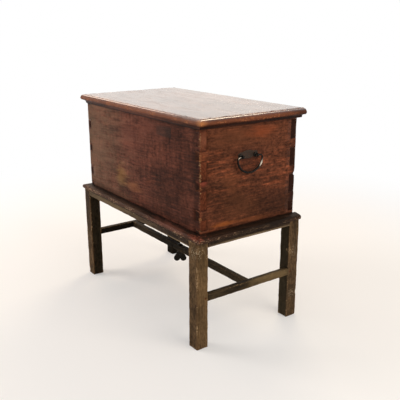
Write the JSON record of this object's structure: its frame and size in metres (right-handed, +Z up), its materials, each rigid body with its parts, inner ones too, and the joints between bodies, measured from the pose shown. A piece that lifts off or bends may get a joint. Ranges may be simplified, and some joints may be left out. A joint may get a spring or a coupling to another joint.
{
  "type": "storage trunk",
  "caption": "Dovetailed wooden chest with a hinged, moulded lid and iron drop handles, resting on a separate square-legged stand with stretchers.",
  "frame": {"origin": "on the floor under the middle of the whole piece", "axes": "+X to the right along the length, +Y to the back where the lid is hinged, +Z up"},
  "size_m": [0.786, 0.424, 0.7199],
  "materials": {
    "chest_front_wood": "old dark wax polish",
    "chest_end_wood": "reddish figured wood, wax polish",
    "lid_wood": "glossy polish, worn edges",
    "stand_wood": "grey-brown, dry, worn",
    "peg_wood": "end grain, waxed",
    "bottom_wood": "bare, unpolished",
    "black_iron": "forged, blackened, rubbed edges"
  },
  "bodies": {
    "stand": {"front_left_leg": "stand_wood", "front_right_leg": "stand_wood", "back_left_leg": "stand_wood", "back_right_leg": "stand_wood", "front_rail": "stand_wood", "back_rail": "stand_wood", "left_rail": "stand_wood", "right_rail": "stand_wood", "stand_front_moulding": "stand_wood", "stand_left_moulding": "stand_wood", "stand_right_moulding": "stand_wood", "left_stretcher": "stand_wood", "right_stretcher": "stand_wood", "left_long_stretcher": "stand_wood", "right_long_stretcher": "stand_wood", "front_left_stretcher_peg": "peg_wood", "front_right_stretcher_peg": "peg_wood", "back_left_stretcher_peg": "peg_wood", "back_right_stretcher_peg": "peg_wood", "stretcher_bolt": "black_iron"},
    "wing_nut": {"stretcher_wing_nut": "black_iron"},
    "chest": {"front_board": "chest_front_wood", "back_board": "chest_front_wood", "left_end_board": "chest_end_wood", "right_end_board": "chest_end_wood", "front_bottom_board": "bottom_wood", "back_bottom_board": "bottom_wood", "left_lower_hinge_leaf": "black_iron", "right_lower_hinge_leaf": "black_iron", "left_hinge_pin": "black_iron", "right_hinge_pin": "black_iron", "left_handle_plate": "black_iron", "right_handle_plate": "black_iron", "left_front_handle_post": "black_iron", "left_back_handle_post": "black_iron", "right_front_handle_post": "black_iron", "right_back_handle_post": "black_iron", "left_front_handle_nut": "black_iron", "left_back_handle_nut": "black_iron", "right_front_handle_nut": "black_iron", "right_back_handle_nut": "black_iron"},
    "lid": {"lid_board": "lid_wood", "lid_front_moulding": "lid_wood", "lid_left_moulding": "lid_wood", "lid_right_moulding": "lid_wood", "left_upper_hinge_leaf": "black_iron", "right_upper_hinge_leaf": "black_iron"},
    "left_handle": {"left_handle_bail": "black_iron"},
    "right_handle": {"right_handle_bail": "black_iron"}
  },
  "joints": [
    {"name": "chest_lift", "type": "slide", "parent": "stand", "child": "chest", "axis": [0, 0, 1], "range_m": [0, 0.25]},
    {"name": "lid_hinge", "type": "hinge", "parent": "chest", "child": "lid", "pos_m": [0, 0.1983, 0.69875], "axis": [-1, 0, 0], "range_deg": [0, 100]},
    {"name": "right_handle_swing", "type": "hinge", "parent": "chest", "child": "right_handle", "pos_m": [0.3756, -0.0075, 0.592], "axis": [0, -1, 0], "range_deg": [-8, 180]},
    {"name": "left_handle_swing", "type": "hinge", "parent": "chest", "child": "left_handle", "pos_m": [-0.3756, -0.0075, 0.592], "axis": [0, 1, 0], "range_deg": [-8, 180]},
    {"name": "wing_nut_turn", "type": "hinge", "parent": "stand", "child": "wing_nut", "pos_m": [-0.024, 0, 0.1495], "axis": [0, 0, 1], "continuous": true}
  ]
}
